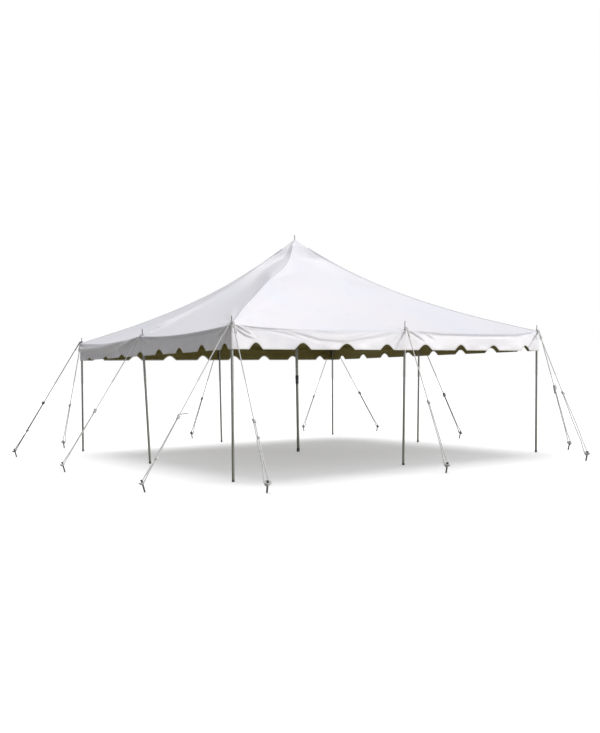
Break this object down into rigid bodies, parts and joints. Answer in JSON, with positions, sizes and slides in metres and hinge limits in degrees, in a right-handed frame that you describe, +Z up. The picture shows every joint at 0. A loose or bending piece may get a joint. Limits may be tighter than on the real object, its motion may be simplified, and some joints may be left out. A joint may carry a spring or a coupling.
{
  "type": "pole tent",
  "caption": "Square white pole tent with one peak over a centre pole, a scalloped valance, side poles, and guy ropes run to ground stakes.",
  "frame": {"origin": "on the ground, at the middle of the centre pole's foot", "axes": "+Z up, +X to the right along the front eave, +Y from the front to the back"},
  "size_m": [9.1194, 9.1655, 4.01],
  "materials": {
    "canopy_vinyl": "white coated vinyl, semi-matt outside, olive lining side",
    "valance_vinyl": "white coated vinyl, semi-matt",
    "peak_cap_vinyl": "reinforced white vinyl",
    "galvanised_pole": "dull galvanised steel tube",
    "dark_sleeve": "dark steel coupling",
    "guy_rope": "three-strand white rope",
    "stake_steel": "dark forged steel"
  },
  "bodies": {
    "root": {"roof_panel_front": "canopy_vinyl", "roof_panel_right": "canopy_vinyl", "roof_panel_back": "canopy_vinyl", "roof_panel_left": "canopy_vinyl", "peak_cap": "peak_cap_vinyl", "valance_front": "valance_vinyl", "valance_right": "valance_vinyl", "valance_back": "valance_vinyl", "valance_left": "valance_vinyl", "corner_pole_front_left": "galvanised_pole", "corner_pole_front_right": "galvanised_pole", "corner_pole_back_right": "galvanised_pole", "corner_pole_back_left": "galvanised_pole", "side_pole_front": "galvanised_pole", "side_pole_right": "galvanised_pole", "side_pole_back": "galvanised_pole", "side_pole_left": "galvanised_pole", "centre_pole_lower": "galvanised_pole", "centre_pole_upper": "galvanised_pole", "centre_pole_sleeve": "dark_sleeve", "guy_rope_front_left_1": "guy_rope", "guy_rope_front_left_2": "guy_rope", "guy_rope_front": "guy_rope", "guy_rope_front_right_1": "guy_rope", "guy_rope_front_right_2": "guy_rope", "guy_rope_right": "guy_rope", "guy_rope_back_right_1": "guy_rope", "guy_rope_back_right_2": "guy_rope", "guy_rope_back": "guy_rope", "guy_rope_back_left_1": "guy_rope", "guy_rope_back_left_2": "guy_rope", "guy_rope_left": "guy_rope", "stake_front_left_1": "stake_steel", "stake_front_left_2": "stake_steel", "stake_front": "stake_steel", "stake_front_right_1": "stake_steel", "stake_front_right_2": "stake_steel", "stake_right": "stake_steel", "stake_back_right_1": "stake_steel", "stake_back_right_2": "stake_steel", "stake_back": "stake_steel", "stake_back_left_1": "stake_steel", "stake_back_left_2": "stake_steel", "stake_left": "stake_steel"}
  },
  "joints": []
}
